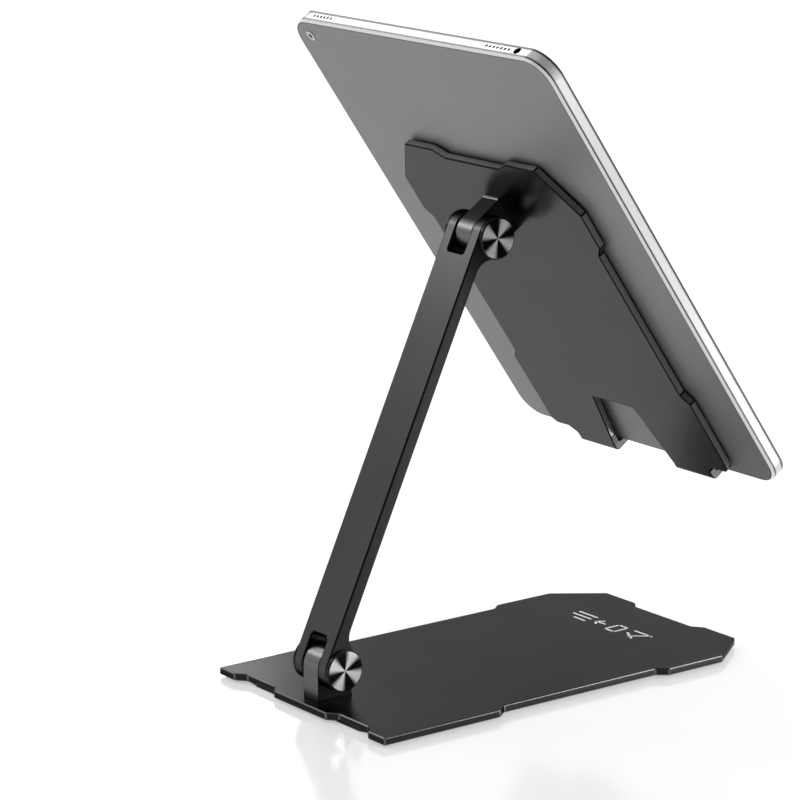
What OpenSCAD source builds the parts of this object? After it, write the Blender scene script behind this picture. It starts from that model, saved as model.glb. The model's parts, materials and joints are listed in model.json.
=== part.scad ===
// Folding desk stand with a tablet display in its holder.
// A flat base, a forked arm and a holder plate meet at two friction hinges.
// X runs across the stand, -Y is the reader's side, +Z is up.
// The origin is the middle of the base's outline, on the table.

/* [Base] */
// Width of the base plate
base_w = 120; // [110:1:130]
// Length of the base plate, front to back
base_len = 208; // [200:1:220]
// Thickness of the base plate
base_t = 3.4; // [3:0.1:4]
// Thickness of the rubber strips under the base
strip_t = 1.2; // [1:0.1:1.6]
// How far the rubber strips stand out below the plate
strip_proud = 0.6; // [0.4:0.1:0.8]

/* [Plate outline] */
// Width of the corner cut on both plates, across the stand
corner_x = 16; // [12:1:20]
// Length of the corner cut on both plates, along the plate
corner_y = 22; // [18:1:24]
// Depth of every stepped recess in the plates' edges
step_d = 3.8; // [3:0.1:4.5]
// Length of the slant at each end of a recess
step_run = 4.8; // [4:0.1:6]

/* [Hinges] */
// Height of a hinge pin above the plate that carries its lug
pin_h = 13.8; // [13:0.1:15]
// Distance from the base's rear edge to the lower hinge pin
pin_back = 14.8; // [14:0.1:16]
// Radius of the rounded end of a lug
lug_r = 8.9; // [8:0.1:9]
// Width of a lug between the fork's two ears
lug_w = 10.4; // [9:0.1:10.6]
// Radius of a hinge pin
pin_r = 3; // [2.5:0.1:3.5]
// Radius of the fork's ears and of the round end caps
ear_r = 9.3; // [9.2:0.1:9.6]

/* [Arm] */
// Distance between the two hinge pins
arm_len = 193.7; // [180:0.1:200]
// Width of the arm
arm_w = 23; // [22:1:26]
// Thickness of the arm between its ends
arm_t = 5.9; // [5:0.1:6.5]
// Lean of the arm from upright, towards the reader
arm_lean = 24.7; // [20:0.1:26]

/* [Holder] */
// Height of the holder plate above the tablet's lower edge
holder_top = 177.2; // [170:0.1:185]
// Thickness of the holder plate
holder_t = 3.5; // [3:0.1:4]
// Slope of the holder plate from level
holder_tilt = 55; // [52:0.1:58]
// Distance along the holder plate from the tablet's lower edge to the upper pin
holder_pin_q = 145.6; // [140:0.1:150]

/* [Tablet] */
// Width of the tablet
tab_w = 172.4; // [168:0.1:176]
// Height of the tablet
tab_h = 238.6; // [232:0.1:244]
// Thickness of the tablet
tab_t = 7; // [6.6:0.1:7.2]
// Radius of the tablet's corners
tab_r = 12; // [9:0.5:14]

/* [Hidden] */
$fn = 64;

eps = 0.01;
fit = 0.05;                        // running clearance, on the radius
pin_fit = 0.02;                    // clearance of a pin in the fork, on the radius
plate_black = [0.16, 0.16, 0.17];
rubber_black = [0.08, 0.08, 0.08];
steel_grey = [0.6, 0.6, 0.62];
cap_silver = [0.85, 0.85, 0.86];
shell_grey = [0.55, 0.55, 0.56];

// Base frame
base_top = strip_proud + base_t;
pin1_y = base_len / 2 - pin_back;
pin1_z = base_top + pin_h;
pin2_y = pin1_y - arm_len * sin(arm_lean);
pin2_z = pin1_z + arm_len * cos(arm_lean);

// Holder frame: x across, y up along the plate, z towards the reader, origin at
// the tablet's lower back edge
pad_t = 0.9;                       // rubber between plate and tablet
plate_back = holder_t + pad_t;     // plate's rear face behind the tablet's back
pin_drop = pin_h + plate_back;     // upper pin behind the tablet's back
hold_y = pin2_y - holder_pin_q * cos(holder_tilt) - pin_drop * sin(holder_tilt);
hold_z = pin2_z - holder_pin_q * sin(holder_tilt) + pin_drop * cos(holder_tilt);

// Fork and hinge stack, measured from the middle plane
slot_half = 5.5;                   // half the gap between the ears
slot_depth = 11;                   // how far the gap runs in from a pin
slot_corner = 1.2;                 // radius of the gap's inner corners
wash_t = 0.26;                     // friction washer
wash_r = 8.2;
pocket_r = 6.2;                    // pocket for bolt head, nut and cap
pocket_d = 3.6;
bolt_short = 0.3;                  // end of the bolt below the ear's face
lug_play = 0.02;                   // between a friction washer and the lug
cap_t = 1.4;                       // part of a cap that shows
cap_rim = 0.7;                     // bevelled rim of a cap, across
cap_dish = 0.9;                    // flat ring inside the rim
cap_sink = 0.25;                   // hollow of a cap at its middle
cap_sheet = 0.9;                   // thickness of a cap's disc
cap_rim_h = 0.5;                   // bevelled rim, deep
skirt_t = 0.7;
skirt_len = 1.5;
cap_r = ear_r - 0.1;
flare_r = 8.5;                     // hollow blend from an ear to the arm's front face
ear_face = arm_w / 2;
pocket_floor = ear_face - pocket_d;
hex_r = 4.6;                       // corner radius of the bolt's head and nut
head_t = 2.2;
spring_t = 0.5;
spring_n = 2;
spring_r = 5.7;
spring_gap = 0.02;                 // between the two spring washers

// Lug foot
foot_r = 1;                        // hollow blend into the plate, on the arm's side
screw_r = 2;
screw_y = 5.6;
screw_head_r = 3.8;
screw_head_t = 1.9;
screw_reach = 7;                   // how far a screw goes into the lug
screw_key_r = 1.4;                 // hexagon socket, corner radius and depth
screw_key_d = 1.2;
hole_spare = 0.3;                  // threaded hole below the screw's end
pad_side_sink = 0.4;               // upper screws' heads below the padded face

// Hooks
hook_in = 20.3;
hook_out = 45;
hook_drop = 4;                     // underside of a hook below the tablet
shelf_t = 3.3;
lip_gap = 0.9;                     // between the tablet's glass and the lip
lip_t = 3.1;
lip_h = 6;                         // lip above the tablet's lower edge
liner_t = 0.6;
hook_round = 2.2;
notch_half_top = 13.5;             // cable cut-out at its closed end
notch_top = 32.5;

// Tablet inside
side_wall = 2.3;
back_t = 1.1;
glass_t = 0.8;
rim = 0.5;                         // shell's rim around the glass
edge_cham = 1;
side_n = 3.9;                      // middle of the side wall, from the back
jack_x = -68;
jack_r = 1.8;
jack_len = 14;
cam_x = 75.3;
cam_y = tab_h - 8.5;
cam_ring_r = 2.5;
lens_r = 1.1;
flash_x = 70.4;
flash_r = 1.2;
// Side keys: centre height along the side, and length
key_power = [202, 11];
key_up = [187, 12];
key_down = [173.5, 12];
key_h = 2.4;
key_sink = 0.05;                   // face of a key inside the tablet's outline
key_recess = 0.45;                 // shallow trough the keys lie in
key_flange_t = 0.8;
key_flange = 1.1;                  // how much wider the flange is than the key
key_gap = 0.12;
key_root = side_wall + 0.1 + key_flange_t;
trough_len = 44;
strip_x = side_wall + 2.4;          // key switches' strip, in from the side

function mirror_x(pts) = [for (i = [len(pts) - 1 : -1 : 0]) [-pts[i][0], pts[i][1]]];

// ---------- shared shapes ----------

// Places a child that is drawn in the holder frame
module in_holder() {
    translate([0, hold_y, hold_z]) rotate([holder_tilt, 0, 0]) children();
}

// Places a child that is drawn with the lower pin at the origin and the arm along +Y
module in_arm() {
    translate([0, pin1_y, pin1_z]) rotate([90 + arm_lean, 0, 0]) children();
}

module rounded_rect(w, h, r) {
    square([w - 2 * r, h], center = true);
    square([w, h - 2 * r], center = true);
    for (sx = [-1, 1], sy = [-1, 1])
        translate([sx * (w / 2 - r), sy * (h / 2 - r)]) circle(r);
}

module slot_2d(length, width) {
    square([length - width, width], center = true);
    for (s = [-1, 1])
        translate([s * (length - width) / 2, 0]) circle(width / 2);
}

// Cylinder along X from one plane to the other
module x_rod(x0, x1, r) {
    translate([x0, 0, 0]) rotate([0, 90, 0]) cylinder(h = x1 - x0, r = r);
}

module x_hex(x0, x1, r) {
    translate([x0, 0, 0]) rotate([0, 90, 0]) cylinder(h = x1 - x0, r = r, $fn = 6);
}

// Lug with the pin at the origin and its foot below, hollow blend towards -Y
module lug_body() {
    difference() {
        union() {
            x_rod(-lug_w / 2, lug_w / 2, lug_r);
            translate([-lug_w / 2, -lug_r, -pin_h]) cube([lug_w, 2 * lug_r, pin_h]);
            translate([-lug_w / 2, -lug_r - foot_r, -pin_h]) cube([lug_w, foot_r + 1, foot_r]);
        }
        translate([0, -lug_r - foot_r, foot_r - pin_h]) x_rod(-lug_w, lug_w, foot_r);
        x_rod(-lug_w, lug_w, pin_r + fit);
        for (s = [-1, 1])
            translate([0, s * screw_y, -pin_h - eps])
                cylinder(h = screw_reach + hole_spare, r = screw_r + fit);
    }
}

// Countersunk screws for a lug, heads below a plate of thickness t with a skin pocket
module lug_screws(t, pocket) {
    for (s = [-1, 1])
        translate([0, s * screw_y, -pin_h - t + pocket]) {
            difference() {
                union() {
                    cylinder(h = screw_head_t, r1 = screw_head_r - 2 * fit, r2 = screw_r);
                    translate([0, 0, screw_head_t - eps])
                        cylinder(h = t - pocket - screw_head_t + screw_reach, r = screw_r);
                }
                translate([0, 0, -eps]) cylinder(h = screw_key_d, r = screw_key_r, $fn = 6);
            }
        }
}

// Holes for the same screws through the plate, with the pin at the origin
module lug_screw_holes(t, pocket) {
    for (s = [-1, 1])
        translate([0, s * screw_y, -pin_h - t + pocket]) {
            translate([0, 0, -eps])
                cylinder(h = screw_head_t + eps, r1 = screw_head_r, r2 = screw_r + fit);
            cylinder(h = t, r = screw_r + fit);
        }
}

// The four kinds of hinge hardware, all around the X axis
module hinge_bolt() {
    color(steel_grey) {
        x_rod(-ear_face + bolt_short, pocket_floor + eps, pin_r);
        x_hex(pocket_floor, pocket_floor + head_t, hex_r);
    }
}

module hinge_nut() {
    color(steel_grey) difference() {
        x_hex(-pocket_floor - spring_n * spring_t - head_t, -pocket_floor - spring_n * spring_t, hex_r);
        x_rod(-arm_w, 0, pin_r + fit);
    }
}

module spring_washers() {
    color(steel_grey) for (i = [0 : spring_n - 1])
        difference() {
            x_rod(-pocket_floor - (i + 1) * spring_t, -pocket_floor - i * spring_t - spring_gap,
                spring_r);
            x_rod(-arm_w, 0, pin_r + 3 * fit);
        }
}

module friction_washers() {
    color([0.9, 0.88, 0.8]) for (s = [-1, 1])
        difference() {
            x_rod(s * (lug_w / 2 + lug_play) + (s < 0 ? -wash_t : 0),
                s * (lug_w / 2 + lug_play) + (s < 0 ? 0 : wash_t), wash_r);
            x_rod(-arm_w, arm_w, pin_r + 2 * fit);
        }
}

// Spun cap: a disc with a bevelled rim and a short skirt that snaps into the ear's pocket
module hinge_cap() {
    skirt_r = pocket_r - 0.03;
    rotate([0, 90, 0]) rotate_extrude() polygon([
        [0, ear_face + cap_t - cap_sheet], [0, ear_face + cap_t - cap_sink],
        [cap_r - cap_rim - cap_dish, ear_face + cap_t], [cap_r - cap_rim, ear_face + cap_t],
        [cap_r, ear_face + cap_t - cap_rim_h], [cap_r, ear_face + 2 * eps],
        [skirt_r, ear_face + 2 * eps], [skirt_r, ear_face - skirt_len],
        [skirt_r - skirt_t, ear_face - skirt_len], [skirt_r - skirt_t, ear_face + cap_t - cap_sheet]]);
}

module hinge_caps() {
    color(cap_silver) {
        hinge_cap();
        mirror([1, 0, 0]) hinge_cap();
    }
}

// ---------- base ----------

// Half outline of the base, from the rear middle round to the front middle
rear_tab = 18.7;                   // half width of the middle tab at the rear edge
rear_notch = 48.5;                 // outer end of the rear recesses
side_rear = 61;                    // side recess, from the rear edge
side_front = 155;
front_notch = 24;                  // half width of the front recess
base_half = [
    [rear_tab, base_len / 2],
    [rear_tab + step_run, base_len / 2 - step_d],
    [rear_notch - step_run, base_len / 2 - step_d],
    [rear_notch, base_len / 2],
    [base_w / 2, base_len / 2],
    [base_w / 2, base_len / 2 - side_rear],
    [base_w / 2 - step_d, base_len / 2 - side_rear - step_run],
    [base_w / 2 - step_d, base_len / 2 - side_front + step_run],
    [base_w / 2, base_len / 2 - side_front],
    [base_w / 2, -base_len / 2 + corner_y],
    [base_w / 2 - corner_x, -base_len / 2],
    [front_notch, -base_len / 2],
    [front_notch - step_run, -base_len / 2 + step_d]];

strip_len = 84;                    // across the stand
strip_w = 26;
strip_r = 6;
strip_gap = 0.1;                   // between a strip and its recess
strip_front_y = -base_len / 2 + 26;
strip_rear_y = pin1_y - 2;

module strip_outline(gap) {
    rounded_rect(strip_len + 2 * gap, strip_w + 2 * gap, strip_r + gap);
}

module at_strips() {
    for (y = [strip_front_y, strip_rear_y]) translate([0, y, 0]) children();
}

module base_plate() {
    color(plate_black) difference() {
        translate([0, 0, strip_proud])
            linear_extrude(base_t) polygon(concat(base_half, mirror_x(base_half)));
        at_strips() translate([0, 0, -eps]) linear_extrude(strip_t + eps) strip_outline(strip_gap);
        translate([0, pin1_y, pin1_z]) lug_screw_holes(base_t, strip_t - strip_proud);
    }
}

module base_rubber_strips() {
    color(rubber_black) at_strips() linear_extrude(strip_t - 2 * eps) strip_outline(0);
}

module base_lug() {
    color(plate_black) translate([0, pin1_y, pin1_z]) lug_body();
}

module base_lug_screws() {
    color(steel_grey) translate([0, pin1_y, pin1_z]) lug_screws(base_t, strip_t - strip_proud);
}

// ---------- arm ----------

arm_front = ear_r - arm_t;         // arm's front face, behind the line of the pins
flare_y = arm_front - flare_r;     // centre of the hollow blend, seen from the side
flare_x = sqrt(pow(ear_r + flare_r, 2) - pow(flare_y, 2));

// Side view of one end: pin at the origin, arm along +x, rear face at y = ear_r
module arm_end_2d() {
    circle(ear_r);
    difference() {
        polygon([[0, 0], [flare_x, flare_y], [flare_x, ear_r], [0, ear_r]]);
        translate([flare_x, flare_y]) circle(flare_r);
    }
}

module arm_side_2d() {
    arm_end_2d();
    translate([arm_len, 0]) mirror([1, 0]) arm_end_2d();
    translate([0, arm_front]) square([arm_len, arm_t]);
}

// Gap for a lug, open at the arm's end, with rounded inner corners
module fork_gap() {
    translate([0, 0, -arm_w]) linear_extrude(2 * arm_w) {
        translate([-slot_half, -2 * ear_r])
            square([2 * slot_half, 2 * ear_r + slot_depth - slot_corner]);
        translate([-slot_half + slot_corner, 0])
            square([2 * (slot_half - slot_corner), slot_depth]);
        for (s = [-1, 1])
            translate([s * (slot_half - slot_corner), slot_depth - slot_corner]) circle(slot_corner);
    }
}

module arm() {
    color(plate_black) in_arm() difference() {
        rotate([90, 0, 90]) translate([0, 0, -arm_w / 2]) linear_extrude(arm_w)
            mirror([0, 1]) arm_side_2d();
        fork_gap();
        translate([0, arm_len, 0]) mirror([0, 1, 0]) fork_gap();
        for (y = [0, arm_len]) translate([0, y, 0]) {
            x_rod(-arm_w, arm_w, pin_r + pin_fit);
            for (s = [0, 1]) mirror([s, 0, 0]) x_rod(pocket_floor, arm_w, pocket_r);
        }
    }
}

module at_lower_pin() {
    in_arm() children();
}

module at_upper_pin() {
    in_arm() translate([0, arm_len, 0]) children();
}

module lower_hinge_bolt() { at_lower_pin() hinge_bolt(); }
module lower_hinge_nut() { at_lower_pin() hinge_nut(); }
module lower_spring_washers() { at_lower_pin() spring_washers(); }
module lower_friction_washers() { at_lower_pin() friction_washers(); }
module lower_hinge_caps() { at_lower_pin() hinge_caps(); }
module upper_hinge_bolt() { at_upper_pin() hinge_bolt(); }
module upper_hinge_nut() { at_upper_pin() hinge_nut(); }
module upper_spring_washers() { at_upper_pin() spring_washers(); }
module upper_friction_washers() { at_upper_pin() friction_washers(); }
module upper_hinge_caps() { at_upper_pin() hinge_caps(); }

// ---------- holder ----------

top_tab = 25.3;                    // half width of the top recess
hold_high = 136.8;                 // side recess along the plate
hold_low = 46.2;
foot_edge = 4.8;                   // plate's lower edge outside the hooks
foot_corner = [57.5, 7];           // small corner cut beside the lower edge
hook_flank = 4.2;                  // slant from the lower edge to a hook, across
hook_flank_low = 1.5;
top_run = 6.6;                     // the top recess is a little shallower and longer
top_step = 3.4;
holder_half = [
    [top_tab - top_run, holder_top - top_step],
    [top_tab, holder_top],
    [base_w / 2 - corner_x, holder_top],
    [base_w / 2, holder_top - corner_y],
    [base_w / 2, hold_high],
    [base_w / 2 - step_d, hold_high - step_run],
    [base_w / 2 - step_d, hold_low + step_run],
    [base_w / 2, hold_low],
    [base_w / 2, foot_corner[1]],
    [foot_corner[0], foot_edge],
    [hook_out + hook_flank, foot_edge],
    [hook_out, hook_flank_low],
    [hook_out, -eps],
    [hook_in, -eps],
    [notch_half_top, notch_top]];

// Side view of a hook: x towards the reader from the tablet's back, y up the plate
module hook_2d() {
    lip_in = tab_t + lip_gap;
    lip_out = lip_in + lip_t;
    difference() {
        union() {
            for (x = [hook_round - plate_back, lip_out - hook_round])
                translate([x, hook_round - hook_drop]) circle(hook_round);
            translate([hook_round - plate_back, -hook_drop])
                square([plate_back + lip_out - 2 * hook_round, shelf_t]);
            translate([-plate_back, hook_round - hook_drop]) square([holder_t, hook_drop - hook_round]);
            translate([lip_in, hook_round - hook_drop])
                square([lip_t, hook_drop + lip_h - hook_round - lip_t / 2]);
            translate([lip_in + lip_t / 2, lip_h - lip_t / 2]) circle(lip_t / 2);
        }
        translate([-pad_t, shelf_t - hook_drop]) square([pad_t + lip_in, lip_h]);
    }
}

module at_hooks() {
    children();
    mirror([1, 0, 0]) children();
}

module at_holder_lug() {
    translate([0, holder_pin_q, -pin_drop]) rotate([0, 180, 0]) rotate([0, 0, 180]) children();
}

module holder_plate() {
    color(plate_black) in_holder() difference() {
        union() {
            translate([0, 0, -plate_back]) linear_extrude(holder_t)
                polygon(concat(holder_half, mirror_x(holder_half)));
            at_hooks() translate([hook_in, 0, 0]) rotate([90, 0, 90])
                linear_extrude(hook_out - hook_in) rotate(90) mirror([0, 1]) hook_2d();
        }
        at_holder_lug() mirror([0, 0, 1]) lug_screw_seats();
    }
}

// Screw holes for the upper lug, heads on the padded side
module lug_screw_seats() {
    for (s = [-1, 1])
        translate([0, s * screw_y, pin_h]) {
            translate([0, 0, -eps]) cylinder(h = holder_t + 1, r = screw_r + fit);
            translate([0, 0, holder_t - screw_head_t - pad_side_sink])
                cylinder(h = screw_head_t + eps, r1 = screw_r + fit, r2 = screw_head_r);
            translate([0, 0, holder_t - pad_side_sink]) cylinder(h = 1, r = screw_head_r);
        }
}

module holder_lug() {
    color(plate_black) in_holder() at_holder_lug() lug_body();
}

module holder_lug_screws() {
    color(steel_grey) in_holder() at_holder_lug() lug_screws(holder_t, pad_side_sink);
}

pad_half = 50;
pad_low = 40;
pad_high = 168;
pad_r = 8;

module holder_pad() {
    color(rubber_black) in_holder() translate([0, (pad_low + pad_high) / 2, -pad_t + eps])
        linear_extrude(pad_t - 3 * eps) rounded_rect(2 * pad_half, pad_high - pad_low, pad_r);
}

liner_inset = 1.2;                 // liner's ends inside the hook's ends
liner_drop = 0.69;                 // underside of the liner below the tablet
liner_back = 0.6;                  // liner's rear edge behind the tablet's back

module hook_pads() {
    lip_in = tab_t + lip_gap;
    color(rubber_black) in_holder() at_hooks() translate([hook_in + liner_inset, 0, 0])
        rotate([90, 0, 90]) linear_extrude(hook_out - hook_in - 2 * liner_inset)
        rotate(90) mirror([0, 1]) {
            translate([-liner_back, -liner_drop]) square([lip_in + liner_back - eps, liner_t]);
            translate([lip_in - liner_t - eps, -liner_drop + liner_t / 2])
                square([liner_t, lip_h - 2 * liner_t]);
        }
}

// ---------- tablet, drawn in the holder frame ----------

module tablet_outline(inset) {
    translate([0, tab_h / 2]) rounded_rect(tab_w - 2 * inset, tab_h - 2 * inset, tab_r - inset);
}

// Side openings for a key, drawn from the tablet's right-hand edge
module at_key(key) {
    translate([tab_w / 2, key[0], side_n]) rotate([0, 90, 0]) rotate([0, 0, 90]) children();
}

module key_hole(key) {
    at_key(key) {
        translate([0, 0, -side_wall - 1]) linear_extrude(side_wall + 2)
            slot_2d(key[1] + 2 * key_gap, key_h + 2 * key_gap);
    }
}

module key_body(key) {
    at_key(key) {
        translate([0, 0, -key_root]) linear_extrude(key_root - key_sink) slot_2d(key[1], key_h);
        translate([0, 0, -key_root]) linear_extrude(key_flange_t)
            slot_2d(key[1] + key_flange, key_h + key_flange);
    }
}

// Speaker holes: a row of round holes near each end of the top edge, and a row of
// slots low on the right-hand side
top_rows = [[64.3, 6], [-55.5, 7]]; // middle of each row and its number of holes
top_row_step = 2.4;
side_row_y = 32;
side_row_n = 9;
side_row_step = 4.2;
top_hole_r = 0.7;
side_slot = [3, 1];

module speaker_holes() {
    for (row = top_rows, i = [0 : row[1] - 1])
        translate([row[0] + (i - (row[1] - 1) / 2) * top_row_step, tab_h + 1, side_n])
            rotate([90, 0, 0]) cylinder(h = side_wall + 2, r = top_hole_r);
    for (i = [0 : side_row_n - 1])
        translate([tab_w / 2 - side_wall - 1, side_row_y + i * side_row_step, side_n])
            rotate([0, 90, 0]) rotate([0, 0, 90])
            linear_extrude(side_wall + 2) slot_2d(side_slot[0], side_slot[1]);
}

port_opening = [9, 3.2];           // charge port's opening in the lower edge
rim_drop = 0.35;                   // shell's rim below the face of the glass

module tablet_back_shell() {
    color(shell_grey) in_holder() difference() {
        union() {
            hull() {
                linear_extrude(eps) tablet_outline(edge_cham);
                translate([0, 0, edge_cham]) linear_extrude(eps) tablet_outline(0);
            }
            translate([0, 0, edge_cham]) linear_extrude(tab_t - rim_drop - edge_cham) tablet_outline(0);
        }
        translate([0, 0, tab_t - glass_t]) linear_extrude(glass_t + 1) tablet_outline(rim);
        translate([0, 0, back_t]) linear_extrude(tab_t) tablet_outline(side_wall);
        for (key = [key_power, key_up, key_down]) key_hole(key);
        at_key([(key_power[0] + key_down[0]) / 2, 0])
            translate([0, 0, -key_recess]) linear_extrude(2) slot_2d(trough_len, key_h + 1);
        speaker_holes();
        translate([0, -1, side_n]) rotate([-90, 0, 0]) linear_extrude(side_wall + 2)
            slot_2d(port_opening[0], port_opening[1]);
        translate([jack_x, tab_h - side_wall - 1, side_n])
            rotate([-90, 0, 0]) cylinder(h = side_wall + 2, r = jack_r);
        translate([cam_x, cam_y, -1]) cylinder(h = back_t + 2, r = cam_ring_r + fit);
        translate([flash_x, cam_y, -1]) cylinder(h = back_t + 2, r = flash_r + fit);
    }
}

module tablet_cover_glass() {
    color([0.05, 0.05, 0.06]) in_holder() translate([0, 0, tab_t - glass_t + 2 * eps])
        linear_extrude(glass_t - 2 * eps) tablet_outline(rim + 2 * fit);
}

panel_t = 1.2;
panel_low = 11;
panel_high = 16.5;
panel_side = 4;

module tablet_display_panel() {
    color([0.1, 0.2, 0.4]) in_holder()
        translate([0, (tab_h + panel_low - panel_high) / 2, tab_t - glass_t - panel_t])
        linear_extrude(panel_t - 2 * eps)
        square([tab_w - 2 * panel_side, tab_h - panel_low - panel_high], center = true);
}

inside_z = back_t + fit;
cell_t = 2.9;
cell = [66, 116];
cell_x = 35;
cell_y = 100;

module tablet_battery_cells() {
    color([0.2, 0.2, 0.22]) in_holder() for (x = [-cell_x, cell_x])
        translate([x, cell_y, inside_z]) linear_extrude(cell_t) rounded_rect(cell[0], cell[1], 2);
}

board = [128, 46];
board_x = -2;
board_y = 196;
board_t = 0.8;
board_hole_r = 1.1;
board_hole_in = 4;                 // screw holes, in from the board's edges
can = [52, 34];
can_x = -10;
can_t = 1.5;

module tablet_main_board() {
    color([0.05, 0.3, 0.15]) in_holder() translate([board_x, board_y, inside_z + board_t])
        difference() {
            linear_extrude(board_t) square(board, center = true);
            for (sx = [-1, 1], sy = [-1, 1])
                translate([sx * (board[0] / 2 - board_hole_in), sy * (board[1] / 2 - board_hole_in), -1])
                    cylinder(h = 3, r = board_hole_r);
        }
}

module tablet_shield_can() {
    color(steel_grey) in_holder() translate([can_x, board_y, inside_z + 2 * board_t + 2 * eps])
        linear_extrude(can_t) rounded_rect(can[0], can[1], can_t);
}

cam_barrel_r = 2.5;
cam_house = 6.5;
cam_sink = 0.1;                    // lens behind the tablet's back
ring_proud = 0.25;

module tablet_camera() {
    color([0.03, 0.03, 0.04]) in_holder() translate([cam_x, cam_y, cam_sink]) {
        cylinder(h = 1.3, r = lens_r);
        translate([0, 0, 1.2]) cylinder(h = 1.2, r = cam_barrel_r);
        translate([0, 0, 2.3]) linear_extrude(2) square(cam_house, center = true);
    }
}

module tablet_camera_ring() {
    color(cap_silver) in_holder() translate([cam_x, cam_y, -ring_proud]) difference() {
        cylinder(h = 1.5, r = cam_ring_r);
        translate([0, 0, -1]) cylinder(h = 4, r = lens_r + fit);
    }
}

module tablet_flash_lens() {
    color([0.95, 0.95, 0.85]) in_holder() translate([flash_x, cam_y, -2 * eps])
        cylinder(h = 1.4, r = flash_r);
}

front_cam_down = 7;                // below the tablet's top edge
front_cam_r = 2;
front_cam_house = 6;

module tablet_front_camera() {
    color([0.03, 0.03, 0.04]) in_holder() translate([0, tab_h - front_cam_down, 2]) {
        cylinder(h = tab_t - glass_t - 2, r = front_cam_r);
        linear_extrude(2) square(front_cam_house, center = true);
    }
}

top_speaker = [15, 9];
top_speaker_down = 14.8;           // middle, below the tablet's top edge
side_speaker = [11, 40];
side_speaker_in = 9;               // middle, in from the side

module tablet_speakers() {
    color([0.1, 0.1, 0.1]) in_holder() {
        for (row = top_rows) translate([row[0], tab_h - top_speaker_down, inside_z])
            linear_extrude(cell_t) rounded_rect(top_speaker[0], top_speaker[1], 1);
        translate([tab_w / 2 - side_speaker_in, side_row_y + 17, inside_z])
            linear_extrude(cell_t) rounded_rect(side_speaker[0], side_speaker[1], 1);
    }
}

port_out = [8.9, 3.1];             // charge port's sleeve
port_in = [8.3, 2.5];
port_len = 8;
jack_body = [6, 4.6];
jack_floor = 1;

module tablet_charge_port() {
    color(steel_grey) in_holder() translate([0, side_wall + 4 * fit, side_n]) rotate([-90, 0, 0])
        difference() {
            linear_extrude(port_len) slot_2d(port_out[0], port_out[1]);
            translate([0, 0, -1]) linear_extrude(port_len) slot_2d(port_in[0], port_in[1]);
        }
}

module tablet_audio_jack() {
    color([0.1, 0.1, 0.1]) in_holder() translate([jack_x, tab_h - jack_len - jack_floor, side_n])
        rotate([-90, 0, 0]) difference() {
            linear_extrude(jack_len + jack_floor - side_wall - 2 * eps)
                square(jack_body, center = true);
            translate([0, 0, jack_floor]) cylinder(h = jack_len + 1, r = jack_r);
        }
}

key_mid = (key_power[0] + key_down[0]) / 2;
strip_board = [trough_len, 2];
switch_r = 1;

module tablet_switch_strip() {
    color([0.5, 0.35, 0.1]) in_holder()
        translate([tab_w / 2 - strip_x, key_mid, side_n]) rotate([0, 90, 0]) rotate([0, 0, 90]) {
            linear_extrude(0.5) square(strip_board, center = true);
            for (key = [key_power, key_up, key_down])
                translate([key[0] - key_mid, 0, 0.45]) cylinder(h = 0.4, r = switch_r);
        }
}

module power_button() { color(shell_grey) in_holder() key_body(key_power); }
module volume_up_button() { color(shell_grey) in_holder() key_body(key_up); }
module volume_down_button() { color(shell_grey) in_holder() key_body(key_down); }

base_plate();
base_rubber_strips();
base_lug();
base_lug_screws();
arm();
lower_hinge_bolt();
lower_hinge_nut();
lower_spring_washers();
lower_friction_washers();
lower_hinge_caps();
upper_hinge_bolt();
upper_hinge_nut();
upper_spring_washers();
upper_friction_washers();
upper_hinge_caps();
holder_plate();
holder_lug();
holder_lug_screws();
holder_pad();
hook_pads();
tablet_back_shell();
tablet_cover_glass();
tablet_display_panel();
tablet_battery_cells();
tablet_main_board();
tablet_shield_can();
tablet_camera();
tablet_camera_ring();
tablet_flash_lens();
tablet_front_camera();
tablet_speakers();
tablet_charge_port();
tablet_audio_jack();
tablet_switch_strip();
power_button();
volume_up_button();
volume_down_button();
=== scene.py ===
"""Folding desk stand in black anodised aluminium, holding a tablet used as a prompter display."""
import json
import math

import bmesh
import bpy
from mathutils import Matrix, Vector


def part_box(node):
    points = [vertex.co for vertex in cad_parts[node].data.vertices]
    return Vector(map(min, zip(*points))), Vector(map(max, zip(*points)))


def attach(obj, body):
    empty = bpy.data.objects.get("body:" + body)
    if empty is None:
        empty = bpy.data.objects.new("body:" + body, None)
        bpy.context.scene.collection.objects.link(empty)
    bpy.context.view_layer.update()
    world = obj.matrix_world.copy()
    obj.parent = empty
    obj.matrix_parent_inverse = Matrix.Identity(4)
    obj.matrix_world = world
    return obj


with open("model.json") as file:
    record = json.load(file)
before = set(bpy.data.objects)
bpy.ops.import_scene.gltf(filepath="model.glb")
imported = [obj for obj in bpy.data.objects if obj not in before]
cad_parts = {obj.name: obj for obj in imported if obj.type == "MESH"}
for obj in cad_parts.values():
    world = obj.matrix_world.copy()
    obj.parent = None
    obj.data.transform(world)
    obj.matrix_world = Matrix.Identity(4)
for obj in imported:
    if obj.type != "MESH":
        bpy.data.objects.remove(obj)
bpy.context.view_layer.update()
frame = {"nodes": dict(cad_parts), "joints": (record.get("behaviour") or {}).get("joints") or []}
nodes = frame["nodes"]


# ---------------------------------------------------------------- Camera
# A long lens on a 36 mm back. It stands behind the stand and to its right,
# a little above the table.
focal_mm, back_mm = 158.85, 36
camera_place = (-1.1582, 0.9282, 0.4759)
camera_azimuth, camera_elevation = 232.85, 13.49


def point_camera(camera, place, azimuth, elevation):
    az, el = math.radians(azimuth), math.radians(elevation)
    back = Vector((math.sin(az) * math.cos(el), -math.cos(az) * math.cos(el), math.sin(el)))
    right = Vector((0, 0, 1)).cross(back).normalized()
    turn = Matrix((right, back.cross(right), back)).transposed()
    camera.matrix_world = Matrix.Translation(place) @ turn.to_4x4()


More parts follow.
